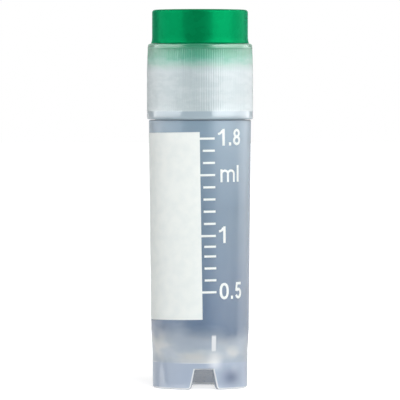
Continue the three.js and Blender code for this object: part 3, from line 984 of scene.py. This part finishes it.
# The inside thread lies between the turns of the neck's thread, a little above midway, as it does
# in a cap that is screwed tight.
cap_thread_start = SHOULDER_HEIGHT + CAP_THREAD_START
cap_thread_climb = CAP_THREAD_START - NECK_THREAD_START - THREAD_SHIFT
cap_thread_sizes = {
    **thread_sizes,
    "Wall Radius": skirt_inside * MM,
    "Side": -1.0,
    "Start Height": cap_thread_start * MM,
    "Start Turn": 0.5 + cap_thread_climb / THREAD_PITCH,
    "Turns": (RIM_HEIGHT - CAP_THREAD_TOP - cap_thread_start) / THREAD_PITCH,
    "Material": frosted_plastic,
}
combine(shell, thread_ridge(cap_thread_sizes), "UNION")
dress(shell, frosted_plastic, crease=40)
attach(shell, "cap")
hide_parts("cap_shell")

# ---------------------------------------------------------------- colour insert
# The green insert shows what is stored. It is moulded separately: a knob that stands above the
# shell, a disc that is trapped under the shell's roof, and a plug that enters the tube's mouth.

insert_low, insert_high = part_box("color_insert")
KNOB_TOP = insert_high.z / MM
PLUG_BOTTOM = insert_low.z / MM
KNOB_INSET = 0.64
KNOB_EDGE_ROUND = 0.35
KNOB_FLARE = 0.19
KNOB_FLARE_HEIGHT = 0.85
KNOB_SEAT_MARGIN = 0.1
KNOB_ROOF = 1.3
KNOB_RIM_WIDTH = 0.41
KNOB_DISH_DEPTH = 0.2
KNOB_DISH_ROUND = 0.06
INSERT_WALL = 0.62
INSERT_CORE_ROUND = 0.4
INSERT_EDGE = 0.08
PLUG_CLEARANCE = 0.08
PLUG_ROUND = 0.25
SEAT_GAP = 0.05
SIDE_GAP = 0.12
DISC_THICKNESS = 1.1
INSERT_FACETS = 192

knob_radius = SHELL_RADIUS - KNOB_INSET
knob_seat = SHELL_TOP + SEAT_GAP
disc_top = web_bottom - SEAT_GAP
disc_bottom = disc_top - DISC_THICKNESS
ring_radius = skirt_inside - SIDE_GAP
plug_radius = bore_radius - PLUG_CLEARANCE
insert_core = plug_radius - INSERT_WALL
dish_edge = knob_radius - KNOB_EDGE_ROUND - KNOB_RIM_WIDTH
dish_radius = dish_edge - KNOB_DISH_DEPTH
dish_floor = KNOB_TOP - KNOB_DISH_DEPTH
ceiling = dish_floor - KNOB_ROOF
flare = arc(
    knob_radius + KNOB_FLARE, knob_seat + KNOB_FLARE_HEIGHT, KNOB_FLARE,
    -90, -180, 10, rise=KNOB_FLARE_HEIGHT,
)
core_round = INSERT_CORE_ROUND
knob_edge = KNOB_EDGE_ROUND
dish_round = KNOB_DISH_ROUND
fine_edge = INSERT_EDGE

insert_section = [
    (0, ceiling),
    *arc(insert_core - core_round, ceiling - core_round, core_round, 90, 0),
    (insert_core, PLUG_BOTTOM + fine_edge),
    (insert_core + fine_edge, PLUG_BOTTOM),
    *arc(plug_radius - PLUG_ROUND, PLUG_BOTTOM + PLUG_ROUND, PLUG_ROUND, -90, 0),
    (plug_radius, disc_bottom),
    *arc(ring_radius - fine_edge, disc_bottom + fine_edge, fine_edge, -90, 0, 3),
    *arc(ring_radius - fine_edge, disc_top - fine_edge, fine_edge, 0, 90, 3),
    (web_hole - SEAT_GAP, disc_top),
    (web_hole - SEAT_GAP, knob_seat),
    (knob_radius - KNOB_SEAT_MARGIN, knob_seat),
    *flare,
    *arc(knob_radius - knob_edge, KNOB_TOP - knob_edge, knob_edge, 0, 90, 10),
    *arc(dish_edge + dish_round / 2, KNOB_TOP - dish_round, dish_round, 90, 135, 3),
    *arc(dish_radius - dish_round / 2, dish_floor + dish_round, dish_round, -45, -90, 3),
    (0, dish_floor),
]
insert = turned("colour_insert", insert_section, INSERT_FACETS)

# The green plastic: satin, with an even, faintly mottled colour. It reflects its own colour.
LEAF_GREEN = (0.0004, 0.16, 0.05, 1)
MOTTLE_GREEN = (0.001, 0.195, 0.067, 1)

green_plastic, green, green_surface, place = material_tree("green_polypropylene")
mottle = noise(green, place, 500.0, 3.0)
feed(green, green_surface, {
    "Base Color": blend(green, mottle, LEAF_GREEN, MOTTLE_GREEN),
    "Roughness": spread(green, mottle, 0.3, 0.7, 0.24, 0.32),
    "Normal": bumped(green, noise(green, place, 3500.0), 0.2),
    "IOR": POLYPROPYLENE_IOR,
    "Specular IOR Level": 0.004,
    "Specular Tint": (0.05, 1.0, 0.8, 1),
    "Metallic": 0.155,
    "Sheen Weight": 0.2,
    "Sheen Roughness": 0.45,
    "Sheen Tint": (0.0, 1.0, 0.6, 1),
})
dress(insert, green_plastic)
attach(insert, "cap")
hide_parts("color_insert")

# ---------------------------------------------------------------- sealing washer
# A soft ring cut from white silicone. It lies on the tube's rim, under the insert's disc, and
# makes the cap tight.

washer_low, washer_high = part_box("sealing_washer")
WASHER_OUTER_ROUND = 0.14
WASHER_INNER_ROUND = 0.05
WASHER_FACETS = 144
washer_bottom = washer_low.z / MM
washer_top = washer_high.z / MM
outer_round = WASHER_OUTER_ROUND
inner_round = WASHER_INNER_ROUND
outer_line = ring_radius - outer_round
inner_line = plug_radius + SEAT_GAP + inner_round

washer_section = [
    *arc(inner_line, washer_bottom + inner_round, inner_round, 180, 270, 3),
    *arc(outer_line, washer_bottom + outer_round, outer_round, -90, 0, 5),
    *arc(outer_line, washer_top - outer_round, outer_round, 0, 90, 5),
    *arc(inner_line, washer_top - inner_round, inner_round, 90, 180, 3),
]
washer = turned("sealing_ring", washer_section, WASHER_FACETS, ring=True)

# The silicone: matt and dusty.
SILICONE_GREY = (0.72, 0.73, 0.7, 1)
SILICONE_WHITE = (0.8, 0.81, 0.78, 1)

white_silicone, rubber, rubber_surface, place = material_tree("white_silicone")
dust = noise(rubber, place, 1500.0, 4.0)
feed(rubber, rubber_surface, {
    "Base Color": blend(rubber, dust, SILICONE_GREY, SILICONE_WHITE),
    "Roughness": spread(rubber, dust, 0.3, 0.7, 0.55, 0.7),
    "Normal": bumped(rubber, dust, 0.3, depth=0.006),
})
dress(washer, white_silicone)
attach(washer, "washer")
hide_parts("sealing_washer")

# ---------------------------------------------------------------- floor
# A wide sheet of matt white board that the vial stands on. The camera sees it as white; it gets
# lighter away from the vial, so that no edge or horizon shows. Its sizes are in metres.

FLOOR_SIZE = 6.0
BOARD_GREY = (0.84, 0.84, 0.84, 1)
WHITE = (1, 1, 1, 1)
LIGHT_BY_VIAL = 0.6
LIGHT_GROWS_OVER = 0.4


def seen_share(group):
    """1 where a surface is looked at, also through or in a glossy thing, and 0 where it lights."""
    rays = add(group, "ShaderNodeLightPath").outputs
    looks = ("Is Camera Ray", "Is Glossy Ray", "Is Transmission Ray")
    return either(group, *[rays[look] for look in looks])


form = bmesh.new()
bmesh.ops.create_grid(form, x_segments=2, y_segments=2, size=FLOOR_SIZE / 2)
floor = finished("floor", form)
white_board, board, board_surface, place = material_tree("white_board")
away = add(board, "ShaderNodeVectorMath", {0: place}, operation="LENGTH").outputs["Value"]
lightened = spread(board, away, 0.0, LIGHT_GROWS_OVER, LIGHT_BY_VIAL)
feed(board, board_surface, {
    "Base Color": BOARD_GREY,
    "Roughness": 0.8,
    "Specular IOR Level": 0.0,
    "Emission Color": WHITE,
    "Emission Strength": both(board, seen_share(board), lightened),
})
floor.data.materials.append(white_board)

# ---------------------------------------------------------------- light
# A big soft lamp high in front, an even sky all round, and three tall lamps, two at the right and
# one at the left, that only show as soft bands in the glossy plastic.

SKY_STRENGTH = 0.34
LAMP_AIM = 25 * MM
STRIP_ELEVATION = 12
STRIP_DISTANCE = 0.6
STRIP_HEIGHT = 1.1


def lamp(name, bearing, elevation, distance, width, height, radiance):
    """A soft lamp aimed at the vial, its bearing in degrees right of the front and its sizes in
    metres. The radiance is what its face looks like, where 1 is white."""
    light = bpy.data.lights.new(name, "AREA")
    light.shape = "RECTANGLE"
    light.size = width
    light.size_y = height
    light.energy = radiance * math.pi * width * height
    made = bpy.data.objects.new(name, light)
    a = math.radians(bearing)
    e = math.radians(elevation)
    made.location = (
        distance * math.sin(a) * math.cos(e),
        -distance * math.cos(a) * math.cos(e),
        distance * math.sin(e) + LAMP_AIM,
    )
    aimed = Vector((0, 0, LAMP_AIM)) - made.location
    made.rotation_euler = aimed.to_track_quat("-Z", "Y").to_euler()
    made.visible_camera = False
    scene.collection.objects.link(made)
    return made


def strip_lamp(name, bearing, width, radiance):
    """A tall lamp whose reflection shows, but which lights nothing."""
    made = lamp(name, bearing, STRIP_ELEVATION, STRIP_DISTANCE, width, STRIP_HEIGHT, radiance)
    made.visible_diffuse = False


key = lamp("key_lamp", bearing=12, elevation=45, distance=0.9, width=0.5, height=0.5, radiance=7.8)
key.visible_glossy = False
strip_lamp("right_strip", bearing=50, width=0.61, radiance=9.0)
strip_lamp("back_strip", bearing=103.5, width=0.6, radiance=5.5)
strip_lamp("left_strip", bearing=-86, width=0.98, radiance=5.8)

sky = bpy.data.worlds.new("sky")
sky.use_nodes = True
scene.world = sky
air = sky.node_tree
feed(air, air.nodes["Background"], {
    "Color": WHITE,
    "Strength": spread(air, seen_share(air), 0.0, 1.0, SKY_STRENGTH, kind="LINEAR"),
})
